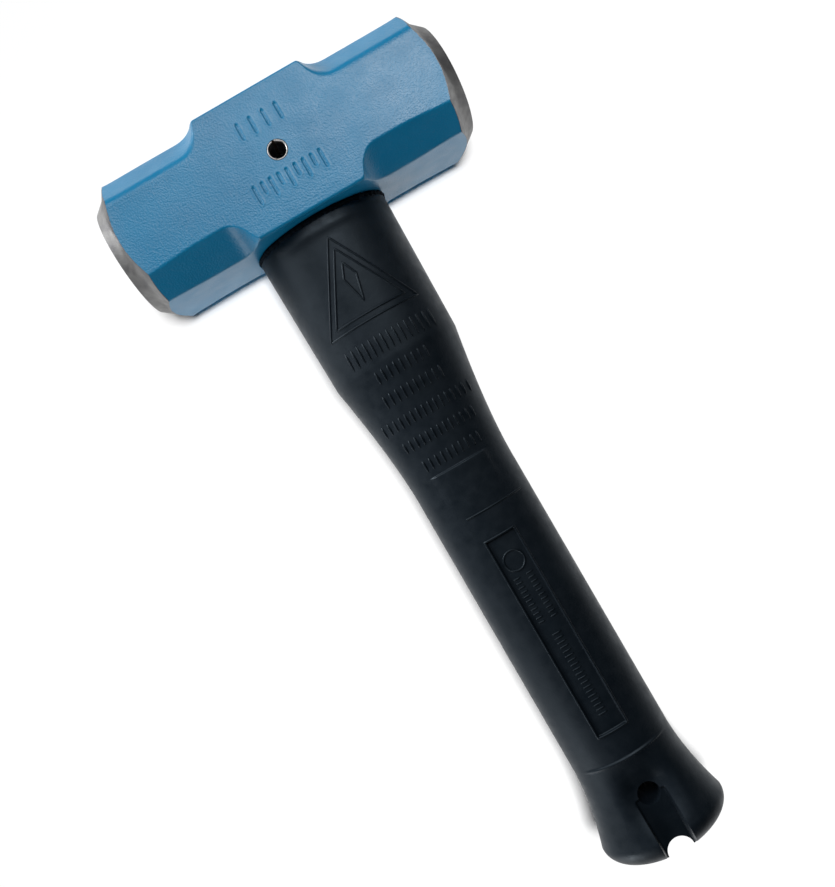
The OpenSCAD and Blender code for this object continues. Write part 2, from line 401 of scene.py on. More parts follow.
def bar_section(upper, lower):
    """The bar's outline at one ring as [(y, z)], starting on the front cheek, with rounded corners."""
    up, low = HALF - upper, HALF - lower
    corners = [(up, HALF), (HALF, up), (HALF, -up), (up, -HALF),
               (-low, -HALF), (-HALF, -low), (-HALF, low), (-low, HALF)]
    radii = [min(r, 1.6 * (upper if k < 4 else lower)) for k, r in enumerate(CORNER_RADII)]
    insets = [r * math.tan(math.radians(22.5)) for r in radii]
    outline = []
    for k in range(8):
        a, b = np.array(corners[k - 1]), np.array(corners[k])
        along = (b - a) / np.linalg.norm(b - a)
        outward = np.array([-along[1], along[0]])
        count = FRONT_COLUMNS if k == 0 else (CHAMFER_COLUMNS if k % 2 else FLAT_COLUMNS)
        share = np.linspace(0, 1, count)[:, None]
        start, end = a + along * insets[k - 1], b - along * insets[k]
        outline.append(start * (1 - share) + end * share)
        turn = np.radians(np.linspace(0, 45, ARC_COLUMNS + 1)[1:-1])[:, None]
        outline.append(end + radii[k] * (outward * (np.cos(turn) - 1) + along * np.sin(turn)))
    return np.vstack(outline)


def cone_x(radius):
    """How far from the middle the turned surface lies at a radius from the striking axis."""
    corner_radius = math.hypot(HALF, HALF - CHAMFER_LEG)
    end = HEAD_LENGTH / 2
    radii = [FACE_RADIUS, HALF, corner_radius, corner_radius + 4]
    places = [end, end - FLAT_BEVEL, end - CORNER_BEVEL, end - CORNER_BEVEL - 2.8]
    return np.interp(radius, radii, places)


print("chamfers start at", round(CHAMFER_START, 1), "mm from the middle")

# %% [markdown]
# ### Stamped marks
# The cheek carries rows of marks, struck into the hot steel with punches before it was painted. A stamped
# mark has soft walls and a slightly raised lip. The front cheek's grid is fine enough to move its own points,
# which gives those soft forms, where a boolean would leave knife edges. Plain strokes stand for the marks: a
# tally of four above the pin, and a graduated row below it.

# %% The punch strokes
STROKE_HALF = 0.45
STROKE_DEPTH = 0.3


def punch_strokes():
    """Each stroke as (x, y) of its two ends, on the front cheek."""
    strokes = [((-7.9 + 4.9 * i, 8.7), (-7.9 + 4.9 * i, 13.9)) for i in range(4)]
    for i in range(9):
        x = -13.4 + 3.15 * i
        low = -12.9 if i % 2 == 0 else -10.6
        strokes.append(((x, low), (x, -7.1)))
    return strokes


def stamp_depth(x, y):
    """How deep the cheek is struck at each point, with a thin lip raised round each mark."""
    depth = np.zeros_like(x)
    for (ax, ay), (bx, by) in punch_strokes():
        length = math.hypot(bx - ax, by - ay)
        ux, uy = (bx - ax) / length, (by - ay) / length
        along = np.clip((x - ax) * ux + (y - ay) * uy, 0, length)
        gap = np.hypot(x - ax - along * ux, y - ay - along * uy)
        groove = STROKE_DEPTH * (1 - eased(gap, 0.1, STROKE_HALF + 0.2))
        past = gap - STROKE_HALF
        lip = 0.06 * eased(past, 0, 0.35) * (1 - eased(past, 0.35, 1.1))
        around = np.where(depth > 0, depth, np.minimum(depth, -lip))
        depth = np.where(groove > 0, np.maximum(depth, groove), around)
    return depth


print(len(punch_strokes()), "punch strokes")

# %% The painted bar and its turned ends
def bar_stations():
    """Ring places along half of the bar, from the middle: fine across the marks, then coarser."""
    fine = np.arange(0, 15.4, 0.24)
    block = np.linspace(15.6, BLOCK_HALF - 1.2, 7)
    curve = np.linspace(BLOCK_HALF - 0.9, CHAMFER_START + 1, 42)
    return np.concatenate([fine, block, curve])


def forged_wave(points):
    """A shallow, slow unevenness, only ever inwards, as a forged face has."""
    waves = np.array([noise.noise(Vector(p) * 0.045) for p in points.reshape(-1, 3)])
    return 0.08 + 0.07 * (1 + np.clip(waves, -1, 1)).reshape(points.shape[:-1])


def build_head():
    half_stations = bar_stations()
    full = chamfer_leg(60)
    section_end = bar_section(full, full - LOWER_BOW)
    end_radius = np.hypot(section_end[:, 0], section_end[:, 1])
    edge = cone_x(end_radius)
    positive = [np.column_stack([np.full(len(section_end), x), bar_section(chamfer_leg(x), chamfer_leg(x))])
                for x in half_stations]
    for share in np.linspace(0, 1, 16)[1:]:
        x = half_stations[-1] + share * (edge - half_stations[-1])
        bow = LOWER_BOW * float(eased(share, 0.25, 1.1)) / float(eased(1, 0.25, 1.1))
        positive.append(np.column_stack([x, bar_section(full, full - bow)]))
    body = np.array(positive)
    outward = section_end / end_radius[:, None]
    cap = []
    for share in np.linspace(0, 1, 9)[1:]:
        radius = end_radius + share * (FACE_RADIUS - end_radius)
        cap.append(np.column_stack([cone_x(radius), outward * radius[:, None]]))
    for radius in (19.75, 19.5, 18.5, 16, 12.5, 9, 5, 1.5):
        x = np.full(len(outward), HEAD_LENGTH / 2 - 0.12 * max(0, (radius - 19.3) / 0.45))
        cap.append(np.column_stack([x, outward * radius]))
    half = np.concatenate([body, np.array(cap)])
    mirrored = half[:0:-1].copy()
    mirrored[..., 0] *= -1
    grid = np.concatenate([mirrored, half])
    gap = edge[None, :] - np.abs(grid[..., 0])
    wave = forged_wave(grid) * eased(gap, 0.2, 3)
    radius = np.hypot(grid[..., 1], grid[..., 2])
    grid[..., 1:] *= (1 - wave / radius)[..., None]
    front = slice(2, FRONT_COLUMNS - 2)
    grid[:, front, 2] -= stamp_depth(grid[:, front, 0], grid[:, front, 1])
    points, faces = closed_grid(grid)
    head = mesh_object("forged_head", points, faces)
    head.data.materials.append(PAINT)
    head.data.materials.append(TURNED)
    rings, columns = grid.shape[:2]
    bare = len(cap)
    steel_face = np.ones(len(head.data.polygons), np.int32)
    steel_face[:(rings - 1) * columns] = 0
    steel_face[:bare * columns] = 1
    steel_face[(rings - 1 - bare) * columns:(rings - 1) * columns] = 1
    head.data.polygons.foreach_set("material_index", steel_face)
    attribute = head.data.attributes.new("edge_gap", "FLOAT", "POINT")
    attribute.data.foreach_set("value", np.append(gap.ravel(), [0, 0]).astype(np.float32))
    return face_outwards(head)


head = build_head()
print("head grid:", len(head.data.polygons), "faces")

# %% [markdown]
# The eye, the seat of the safety plate and the pin's hole go through broad flat faces, so booleans are safe
# there. Each cutter flares a little at its mouth, which breaks the edge as a real reamer or punch does.

# %% The eye and the pin's hole
EYE_LENGTH, EYE_WIDTH = 34, 22
PLATE_SEAT_LENGTH, PLATE_SEAT_WIDTH, PLATE_SEAT_DEPTH = 38.4, 25.4, 4.0
PIN_RADIUS = 3.6


def eye_cutters():
    top = -HALF
    seat = [(top - 1, 2.0), (top - 0.01, 0.8), (top + 0.5, 0.0), (top + PLATE_SEAT_DEPTH, 0.0)]
    layers = [(r, PLATE_SEAT_LENGTH + g, PLATE_SEAT_WIDTH + g) for r, g in seat]
    plate = round_ended_bar("seat_cutter", layers)
    eye = [(top + 1, 0.0), (HALF - 0.8, 0.0), (HALF - 0.01, 1.4), (HALF + 1, 3.0)]
    slot = round_ended_bar("eye_cutter", [(r, EYE_LENGTH + g, EYE_WIDTH + g) for r, g in eye])
    near, flare = PIN_RADIUS + 0.02, PIN_RADIUS + 0.08
    mouth = [(-HALF - 1, flare + 1), (-HALF, flare), (-HALF + 0.15, near),
             (HALF - 0.15, near), (HALF, flare), (HALF + 1, flare + 1)]
    bore = turned("bore_cutter", mouth, (0, 0, 0), "z", 64)
    return [plate, slot, bore]


combine(head, "DIFFERENCE", eye_cutters())
smooth(head, 38)
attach(head, "root")
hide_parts("hammer_head")
print("head:", len(head.data.polygons), "faces after the eye and the bore are cut")

# %% [markdown]
# ## The spring pin
# A spring pin is a strip of spring steel rolled into a tube that doesn't quite close. Its section is a thick
# letter C, and both ends taper so that it starts into its hole. One C-shaped ring is repeated along the pin
# and narrowed at the ends.

# %% The spring pin
def build_spring_pin():
    wall, slot_half, length = 0.72, 0.5, 2 * HALF - 0.4
    opening = math.asin(slot_half / PIN_RADIUS)
    turn = np.linspace(math.pi / 2 + opening, 2.5 * math.pi - opening, 56)
    ends = [(0.0, 0.54, 0.6), (0.06, 0.3, 0.34), (0.2, 0.1, 0.12), (0.45, 0.02, 0.02), (1.2, 0.0, 0.0)]
    layers = [(-length / 2 + d, shrink, grow) for d, shrink, grow in ends]
    layers += [(length / 2 - d, shrink, grow) for d, shrink, grow in reversed(ends)]
    rings = []
    for z, shrink, grow in layers:
        outer, inner = PIN_RADIUS - shrink * 0.5, PIN_RADIUS - wall + grow * 0.5
        outside = np.stack([outer * np.cos(turn), outer * np.sin(turn)], -1)
        inside = np.stack([inner * np.cos(turn), inner * np.sin(turn)], -1)[::-1]
        outline = np.vstack([outside, inside])
        rings.append(np.column_stack([outline, np.full(len(outline), z)]))
    grid = np.array(rings)
    rings, columns = grid.shape[:2]
    faces = grid_faces(rings, columns)
    half = columns // 2
    last = (rings - 1) * columns
    for c in range(half - 1):
        faces.append((c, columns - 1 - c, columns - 2 - c, c + 1))
        faces.append((last + c, last + c + 1, last + columns - 2 - c, last + columns - 1 - c))
    return face_outwards(mesh_object("rolled_spring_pin", grid.reshape(-1, 3), faces, PIN_STEEL))


pin = smooth(build_spring_pin(), 40)
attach(pin, "root")
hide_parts("spring_pin")
print("spring pin:", len(pin.data.polygons), "faces")

# %% [markdown]
# ## The handle
# The handle is one rubber moulding. Its section is an oval whose width and thickness follow a rule along the
# handle: a broad neck that narrows a little, a curved taper, a long grip and a flared, rounded butt. As with
# the head, it is one grid of rings. Near the front and back the columns keep a fixed distance from the middle
# line, so that the straight sides of the panel and the cord grooves fall on lines of the grid and stay clean.

# %% The handle's rule
NECK_WIDTH, GRIP_WIDTH, BUTT_WIDTH = 51, 38, 48.2
NECK_DEPTH, GRIP_DEPTH, BUTT_DEPTH = 36, 27, 34
NECK_DRAFT, TAPER_START, TAPER_END, TAPER_POWER = 0.17, 78, 126, 1.58
GRIP_END, BUTT_WIDEST, BUTT_ROUND = BUTT_REACH - 40.6, BUTT_REACH - 10.4, 10.4
SHOULDER = 2.4
FLARE_POWER, END_POWER, END_ANGLE = 1.85, 2.2, 78


def handle_half(reach, neck, grip, butt):
    """Half of the handle's width or thickness at a reach below the head's middle."""
    flare = np.clip((reach - GRIP_END) / (BUTT_WIDEST - GRIP_END), 0, 1) ** FLARE_POWER
    draft = 1 - NECK_DRAFT * np.clip((reach - HALF) / (TAPER_START - HALF), 0, 1)
    taper = (1 - np.clip((reach - TAPER_START) / (TAPER_END - TAPER_START), 0, 1)) ** TAPER_POWER
    body = grip + (neck - grip) * draft * taper + (butt - grip) * flare
    turn = np.clip((np.asarray(reach) - BUTT_WIDEST) / BUTT_ROUND, 0, 1) ** (END_POWER / 2)
    angle = np.arcsin(np.clip(turn * math.sin(math.radians(END_ANGLE)), 0, 1))
    rounded = np.where(reach > BUTT_WIDEST, np.cos(angle) ** (2 / END_POWER), 1.0)
    below = np.clip((HALF + SHOULDER - reach) / SHOULDER, 0, 1)
    shoulder = 2 * SHOULDER * (1 - np.sqrt(1 - below**2))
    return (body * rounded - shoulder) / 2


def half_width(reach):
    return handle_half(reach, NECK_WIDTH, GRIP_WIDTH, BUTT_WIDTH)


def half_depth(reach):
    return handle_half(reach, NECK_DEPTH, GRIP_DEPTH, BUTT_DEPTH)


grip_size = [round(2 * float(half(180.0)), 1) for half in (half_width, half_depth)]
print("grip", grip_size[0], "mm wide and", grip_size[1], "mm thick")

# %% [markdown]
# The details are moulded into that oval: a soft swelling under the head, a ledge at the foot of the neck, a
# sunk panel down the grip, a raised lip at the grip's lower edge, a hollow that leads down to the lanyard
# hole, and the grooves that a cord lies in. Each is a small function that says how far it moves the surface.

# %% The moulded details
PANEL_HALF, PANEL_START, PANEL_END, PANEL_SINK = 5.5, 149.5, 226.5, 0.8
LEDGE_START, LEDGE_END, LEDGE_HALF = 121.3, 138.9, 10.3
LIP_REACH = GRIP_END + 0.4
HOLE_REACH, HOLE_RADIUS = BUTT_REACH - 24.4, 4.0
GROOVE_HALF, GROOVE_FLOOR = 5.6, 10.0
HOLLOW_START, HOLLOW_END = LIP_REACH + 0.6, HOLE_REACH - HOLE_RADIUS


def panel_sink(x, reach):
    across = 1 - eased(np.abs(x), PANEL_HALF - 0.35, PANEL_HALF + 0.15)
    begun = eased(reach, PANEL_START - 0.3, PANEL_START + 0.3)
    ended = eased(reach, PANEL_END - 0.3, PANEL_END + 0.3)
    return PANEL_SINK * across * begun * (1 - ended)


def ledge_rise(x, reach):
    """A step up at the foot of the neck that fades out down the grip."""
    across = 1 - eased(np.abs(x), LEDGE_HALF - 0.8, LEDGE_HALF + 0.8)
    along = eased(reach, LEDGE_START - 0.5, LEDGE_START + 0.1) * np.clip((LEDGE_END - reach) / 17, 0, 1)
    return 0.55 * across * along


def swelling(x, reach):
    """A low, soft ridge just under the head."""
    return 0.35 * np.exp(-(((reach - 28.5) / 1.6) ** 2)) * (1 - eased(np.abs(x), 8, 18))


def lip_rise(reach, facing):
    """A fine raised edge round the grip's lower end, steep on its lower side, that fades at the sides."""
    rise = eased(reach, LIP_REACH - 1.0, LIP_REACH - 0.1) * (1 - eased(reach, LIP_REACH, LIP_REACH + 0.6))
    return 0.36 * rise * eased(facing, 0.45, 0.9)


def hollow_floor(x, z, reach):
    """The height of the hollow that slopes down to the lanyard hole between soft shoulders."""
    across = 1 - eased(np.abs(x), 3.0, 13.0)
    along = np.clip((reach - HOLLOW_START) / (HOLLOW_END - HOLLOW_START), 0, 1)
    fade = 1 - eased(reach, HOLE_REACH - 5, HOLE_REACH + 14)
    return z - np.maximum(z - GROOVE_FLOOR, 0) * across * along * fade


def groove_share(x, reach):
    """1 on the floor of a cord groove and 0 outside it."""
    across = 1 - eased(np.abs(x), GROOVE_HALF - 0.4, GROOVE_HALF + 0.5)
    return across * eased(reach, HOLE_REACH - 0.4, HOLE_REACH + 0.8)


def ring_reaches():
    """Ring places down the handle: closer together where a detail starts or ends."""
    shoulder = HALF + SHOULDER * (1 - np.cos(np.linspace(0, math.pi / 2, 7)))
    plain = np.arange(HALF + SHOULDER + 0.8, BUTT_WIDEST, 0.85)
    details = [np.linspace(place - 0.6, place + 0.6, 9) for place in (LEDGE_START, PANEL_START, PANEL_END)]
    details.append(np.linspace(LIP_REACH - 1.4, LIP_REACH + 1, 16))
    details.append(np.linspace(HOLE_REACH - 0.6, HOLE_REACH + 1, 8))
    rounded = BUTT_WIDEST + BUTT_ROUND * np.linspace(0, 1, 26) ** 0.8
    every = np.sort(np.concatenate([shoulder, plain, *details, rounded]))
    keep = np.concatenate([[True], np.diff(every) > 0.08])
    return every[keep]


print(len(ring_reaches()), "rings down the handle")

# %% The handle's mesh
def handle_quarter(a):
    """A quarter's columns as angles, for a half width a: fixed distances from the middle, then shares."""
    fixed = np.concatenate([np.arange(0, 5.0, 0.5), np.arange(5.0, 6.1, 0.15), np.arange(6.5, 8.6, 0.5)])
    fixed = fixed * min(1, a / 12)
    start = math.asin(fixed[-1] / a)
    shares = np.linspace(0, 1, 20)[1:]
    return np.concatenate([np.arcsin(fixed / a), start + (math.pi / 2 - start) * shares])


def handle_ring(reach):
    a, b = float(half_width(reach)), float(half_depth(reach))
    quarter = handle_quarter(a)
    right = np.concatenate([quarter, math.pi - quarter[-2::-1]])
    whole = np.concatenate([right, math.pi + quarter[1:], 2 * math.pi - quarter[-2:0:-1]])
    x, up = a * np.sin(whole), np.cos(whole)
    front, height = up > 0, b * np.abs(up)
    height = height + lip_rise(reach, np.abs(up))
    height = height + np.where(front, ledge_rise(x, reach) + swelling(x, reach) - panel_sink(x, reach), 0)
    height = hollow_floor(x, height, reach)
    share = groove_share(x, reach)
    height = height * (1 - share) + np.minimum(height, GROOVE_FLOOR) * share
    return np.stack([x, np.full(len(x), -reach), np.where(front, 1, -1) * height], -1)


def build_handle():
    grid = np.array([handle_ring(r) for r in ring_reaches()])
    points, faces = closed_grid(grid)
    return face_outwards(mesh_object("rubber_handle", points, faces, RUBBER))


handle = build_handle()
print("handle grid:", len(handle.data.polygons), "faces")

# %% [markdown]
# The lanyard hole and the notch at the end go right through, so they are cut. The tenon that fills the eye is
# a round-ended bar that joins the handle's top.

# %% The hole, the notch and the tenon
NOTCH_HALF, NOTCH_TOP = 5.0, BUTT_REACH - 6.6


def notch_cutter():
    turn = np.linspace(0, math.pi, 33)
    arc = np.stack([NOTCH_HALF * np.cos(turn), -(NOTCH_TOP + NOTCH_HALF) + NOTCH_HALF * np.sin(turn)], -1)
    outline = np.vstack([arc, [[-NOTCH_HALF, -BUTT_REACH - 3], [NOTCH_HALF, -BUTT_REACH - 3]]])
    rings = [np.column_stack([outline, np.full(len(outline), z)]) for z in (-25, 25)]
    points, faces = closed_grid(np.array(rings))
    return mesh_object("notch_cutter", points, faces)


def hole_cutter():
    bend = GROOVE_FLOOR + 0.5
    mouth = [(-25, HOLE_RADIUS), (-bend, HOLE_RADIUS + 0.25), (-bend + 1.1, HOLE_RADIUS)]
    profile = mouth + [(-z, r) for z, r in reversed(mouth)]
    return turned("hole_cutter", profile, (0, -HOLE_REACH, 0), "z", 48, TORN_RUBBER)


def tenon():
    top = -HALF + PLATE_SEAT_DEPTH
    length, width = EYE_LENGTH - 0.2, EYE_WIDTH - 0.2
    layers = [(top, length - 1, width - 1), (top + 0.5, length, width), (HALF + 4, length, width)]
    return round_ended_bar("tenon", layers)


combine(handle, "UNION", [tenon()])
combine(handle, "DIFFERENCE", [hole_cutter(), notch_cutter()])
smooth(handle, 40)
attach(handle, "root")
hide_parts("handle_grip")
print("handle:", len(handle.data.polygons), "faces")

# %% [markdown]
# ## Raised marks, with Geometry Nodes
# The moulding carries fine raised lines: a double triangle on the neck, rows of short ribs below it, and more
# ribs in the panel. Two node trees make them all. Each drops its points onto the handle with a raycast, so
# the marks follow the curved surface whatever its size. The first tree sweeps a fine round bead along lines,
# and the second sets a short bead on each point, turned to stand on the surface.

# %% A helper for building node trees
def new_tree(name, inputs):
    """An empty geometry tree with named inputs, given as {name: socket type}."""
    tree = bpy.data.node_groups.new(name, "GeometryNodeTree")
    tree.interface.new_socket("Geometry", in_out="INPUT", socket_type="NodeSocketGeometry")
    for label, kind in inputs.items():
        tree.interface.new_socket(label, in_out="INPUT", socket_type="NodeSocket" + kind)
    tree.interface.new_socket("Geometry", in_out="OUTPUT", socket_type="NodeSocketGeometry")
    return tree, tree.nodes.new("NodeGroupInput"), tree.nodes.new("NodeGroupOutput")


def node(tree, kind, links=None, **settings):
    """A node with its settings, and inputs that are either sockets to link or plain values."""
    made = tree.nodes.new(kind)
    for name, value in settings.items():
        setattr(made, name, value)
    for name, value in (links or {}).items():
        socket = made.inputs[name]
        if isinstance(value, bpy.types.NodeSocket):
            tree.links.new(value, socket)
        else:
            socket.default_value = value
    return made


def onto_surface(tree, geometry, sizes):
    """Drops points along -Z onto the handle. Returns the geometry and the normal where each landed."""
    handle_input = {"Object": sizes.outputs["Handle"]}
    info = node(tree, "GeometryNodeObjectInfo", handle_input, transform_space="RELATIVE")
    lift = node(tree, "ShaderNodeMath", {0: sizes.outputs["Sunk"], 1: -1.0}, operation="MULTIPLY")
    place = node(tree, "GeometryNodeInputPosition")
    start = node(tree, "ShaderNodeVectorMath", {0: place.outputs[0], 1: (0, 0, 0.05)})
    ray = node(tree, "GeometryNodeRaycast", {
        "Target Geometry": info.outputs["Geometry"], "Source Position": start.outputs[0],
        "Ray Direction": (0, 0, -1), "Ray Length": 0.1})
    normal = ray.outputs["Hit Normal"]
    raised = node(tree, "ShaderNodeVectorMath", {0: normal, "Scale": lift.outputs[0]}, operation="SCALE")
    landed = node(tree, "ShaderNodeVectorMath", {0: ray.outputs["Hit Position"], 1: raised.outputs[0]})
    moved = node(tree, "GeometryNodeSetPosition", {"Geometry": geometry, "Position": landed.outputs[0]})
    return moved.outputs["Geometry"], normal


def finish_tree(tree, geometry, start, end):
    """Ends a tree: smooth shading, real geometry and the finish."""
    shaded = node(tree, "GeometryNodeSetShadeSmooth", {"Geometry": geometry})
    real = node(tree, "GeometryNodeRealizeInstances", {"Geometry": shaded.outputs[0]})
    done = node(tree, "GeometryNodeSetMaterial", {
        "Geometry": real.outputs[0], "Material": start.outputs["Finish"]})
    tree.links.new(done.outputs[0], end.inputs[0])


def set_input(piece, modifier, label, value):
    """Sets a modifier's input by its label."""
    for item in modifier.node_group.interface.items_tree:
        if item.item_type == "SOCKET" and item.in_out == "INPUT" and item.name == label:
            modifier[item.identifier] = value
            return
    raise KeyError(label)


def run_tree(name, tree, vertices, edges, values, attributes=None):
    """Runs a tree on loose vertices and edges, and returns the plain mesh that it makes."""
    mesh = bpy.data.meshes.new(name)
    mesh.from_pydata(to_row(vertices).tolist(), edges, [])
    for label, numbers in (attributes or {}).items():
        layer = mesh.attributes.new(label, "FLOAT", "POINT")
        layer.data.foreach_set("value", np.asarray(numbers, np.float32))
    piece = add_object(name, mesh)
    modifier = piece.modifiers.new("marks", "NODES")
    modifier.node_group = tree
    for label, value in values.items():
        set_input(piece, modifier, label, value)
    bake_modifiers(piece)
    return piece


print("tree helpers ready")

# %% The bead tree and the rib tree
def bead_tree():
    """A fine bead along every line of the mesh."""
    tree, start, end = new_tree("moulded_bead", {
        "Handle": "Object", "Bead": "Float", "Sunk": "Float", "Finish": "Material"})
    lines, _ = onto_surface(tree, start.outputs["Geometry"], start)
    curve = node(tree, "GeometryNodeMeshToCurve", {"Mesh": lines})
    profile = node(tree, "GeometryNodeCurvePrimitiveCircle", {
        "Resolution": 8, "Radius": start.outputs["Bead"]})
    tube = node(tree, "GeometryNodeCurveToMesh", {
        "Curve": curve.outputs[0], "Profile Curve": profile.outputs["Curve"], "Fill Caps": True})
    finish_tree(tree, tube.outputs[0], start, end)
    return tree


def rib_tree():
    """A short bead, with round ends, standing on the surface at every point. Its length is an attribute."""
    tree, start, end = new_tree("moulded_ribs", {
        "Handle": "Object", "Bead": "Float", "Sunk": "Float", "Turn": "Float", "Finish": "Material"})
    cloud = node(tree, "GeometryNodeMeshToPoints", {"Mesh": start.outputs["Geometry"]})
    points, normal = onto_surface(tree, cloud.outputs[0], start)
    ball = node(tree, "GeometryNodeMeshUVSphere", {
        "Segments": 8, "Rings": 6, "Radius": start.outputs["Bead"]})
    length = node(tree, "GeometryNodeInputNamedAttribute", {"Name": "rib_length"}, data_type="FLOAT")
    half = node(tree, "ShaderNodeMath", {0: length.outputs[0], 1: start.outputs["Bead"]}, operation="DIVIDE")
    share = node(tree, "ShaderNodeMath", {0: half.outputs[0], 1: 0.5}, operation="MULTIPLY")
    scale = node(tree, "ShaderNodeCombineXYZ", {"X": 1.0, "Y": share.outputs[0], "Z": 1.0})
    spin = node(tree, "ShaderNodeCombineXYZ", {"Z": start.outputs["Turn"]})
    turned_rib = node(tree, "FunctionNodeEulerToRotation", {0: spin.outputs[0]})
    lean = node(tree, "FunctionNodeAlignRotationToVector", {
        "Rotation": turned_rib.outputs[0], "Vector": normal}, axis="Z")
    copies = node(tree, "GeometryNodeInstanceOnPoints", {
        "Points": points, "Instance": ball.outputs["Mesh"],
        "Rotation": lean.outputs[0], "Scale": scale.outputs[0]})
    finish_tree(tree, copies.outputs[0], start, end)
    return tree


BEADS, RIBS = bead_tree(), rib_tree()
print("trees:", BEADS.name, RIBS.name)

# %% The triangle, the ledge and the ring
def polyline(corners, step=0.8, closed=True):
    """Points about a step apart along straight lines between corners, and the edges that join them."""
    corners = [np.array(c, float) for c in corners]
    pairs = list(zip(corners, corners[1:] + corners[:1])) if closed else list(zip(corners, corners[1:]))
    points = []
    for a, b in pairs:
        count = max(2, int(np.linalg.norm(b - a) / step))
        points += [a + (b - a) * i / count for i in range(count)]
    if not closed:
        points.append(corners[-1])
    count = len(points)
    edges = [(i, (i + 1) % count) for i in range(count if closed else count - 1)]
    return points, edges


def line_sets():
    """Every raised line on the front, as (x, reach)."""
    outer = [(0, 32.3), (-17.2, 63.4), (17.2, 63.4)]
    inner = [(0, 36.6), (-13.4, 61.0), (13.4, 61.0)]
    mark = [(0, 42.0), (2.4, 47.5), (0, 57.0), (-2.4, 47.5)]
    rim_x, rim_end = PANEL_HALF + 0.35, PANEL_END + 0.35
    rim = [(-rim_x, PANEL_START - 0.35), (rim_x, PANEL_START - 0.35), (rim_x, rim_end), (-rim_x, rim_end)]
    badge = [(3.7 * math.sin(t), 159.5 - 3.7 * math.cos(t)) for t in np.linspace(0, 2 * math.pi, 33)[:32]]
    foot = [(-7.3, LEDGE_END + 0.4), (15.0, LEDGE_END + 0.4)]
    loops = [polyline(corners) for corners in (outer, inner, mark, rim, badge)]
    return loops + [polyline(foot, closed=False)]


def build_lines():
    vertices, edges = [], []
    for points, links in line_sets():
        first = len(vertices)
        vertices += [(x, -reach, 0) for x, reach in points]
        edges += [(first + a, first + b) for a, b in links]
    return run_tree("neck_lines", BEADS, vertices, edges,
                    {"Handle": handle, "Bead": 0.5 * MM, "Sunk": 0.2 * MM, "Finish": RUBBER})


neck_lines = build_lines()
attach(neck_lines, "root")
print("neck lines:", len(neck_lines.data.polygons), "faces")

# %% The rows of ribs
def rib_rows():
    """Each row as (middle reach, length of a rib, x of its two ends)."""
    return [(72.3, 7.8, -15.0, 17.5), (82.0, 5.5, -9.3, 9.8), (90.4, 5.5, -11.1, 10.7),
            (99.2, 5.2, -16.8, 17.0), (107.6, 4.9, -13.2, 13.6), (116.3, 5.1, -10.4, 10.8)]


def panel_rows():
    """The panel's rows as (x, length of a rib, reach of the row's two ends)."""
    return [(-2.5, 3.2, 165.5, 182.5), (2.5, 3.2, 165.5, 182.5), (0, 4.0, 188.3, 220)]


def build_ribs(name, rows, pitch, bead, turn):
    """Ribs a pitch apart along each row, which runs across the handle, or along it where turn isn't zero."""
    vertices, lengths = [], []
    for fixed, length, first, last in rows:
        for place in np.linspace(first, last, int(round((last - first) / pitch)) + 1):
            vertices.append((fixed, -place, 0) if turn else (place, -fixed, 0))
            lengths.append(length * MM)
    values = {"Handle": handle, "Bead": bead * MM, "Sunk": 0.1 * MM, "Turn": turn, "Finish": RUBBER}
    return run_tree(name, RIBS, vertices, [], values, {"rib_length": lengths})


for ribs in (build_ribs("neck_ribs", rib_rows(), 2.3, 0.52, 0.0),
             build_ribs("panel_ribs", panel_rows(), 1.75, 0.4, math.pi / 2)):
    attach(ribs, "root")
    print(ribs.name, len(ribs.data.polygons), "faces")

# %% [markdown]
# Where the mould closed against the head, a little rubber squeezed out and set as an uneven bead.

# %% The bead under the head
def build_flash():
    around, bead_sides = 420, 12
    a, b = float(half_width(HALF + 3)), float(half_depth(HALF + 3))
    rings = []
    for i in range(around):
        turn = 2 * math.pi * i / around
        outward = np.array([math.cos(turn), 0, math.sin(turn)])
        place = Vector((a * outward[0], 0, b * outward[2]))
        slow, quick = noise.noise(place * 0.22), noise.noise(place * 0.9 + Vector((5, 5, 5)))
        size = 1.0 + 0.25 * slow + 0.35 * quick
        middle = np.array([(a - 0.6) * outward[0], -(HALF + 0.95 + 0.4 * quick), (b - 0.6) * outward[2]])
        bead = np.linspace(0, 2 * math.pi, bead_sides, endpoint=False)
        rings.append([middle + size * (outward * math.cos(t) + np.array([0, math.sin(t), 0])) for t in bead])
    faces = grid_faces(around, bead_sides)
    last = (around - 1) * bead_sides
    for c in range(bead_sides):
        d = (c + 1) % bead_sides
        faces.append((last + c, last + d, d, c))
    return face_outwards(mesh_object("rubber_flash", np.array(rings).reshape(-1, 3), faces, TORN_RUBBER))


flash = smooth(build_flash(), 60)
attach(flash, "root")
print("flash:", len(flash.data.polygons), "faces")

# %% [markdown]
# ## The steel core
# Six round rods run down the handle, three on each side of the pin. They pass through a plate that is sunk in
# the top of the eye, two plates that keep them apart, and a plate at the end. The rods and the safety plate
# get the broken edges and the peened ends that real ones have, and the hidden plates keep their CAD shape.

# %% The safety plate and the rods
ROD_RADIUS, ROD_END = 2.5, 238
ROD_PLACES = [(-7.5, 5.2), (-7.5, -5.2), (-13, 0), (7.5, 5.2), (7.5, -5.2), (13, 0)]


def build_safety_plate():
    top, thick, edge = 0.8 - HALF, 3.0, 0.5
    rounding = [(0, 2 * edge), (0.3 * edge, 0.6 * edge), (edge, 0), (thick, 0)]
    layers = [(top + down, 38 - less, 25 - less) for down, less in rounding]
    plate = round_ended_bar("eye_plate", layers, 32, PLATE_STEEL)
    hole = [(HALF - thick - 1, ROD_RADIUS + 0.05), (HALF + 1, ROD_RADIUS + 0.05)]
    cutters = [turned(f"rod_cutter_{i}", hole, (x, 0, z), "y", 32) for i, (x, z) in enumerate(ROD_PLACES)]
    return combine(plate, "DIFFERENCE", cutters)


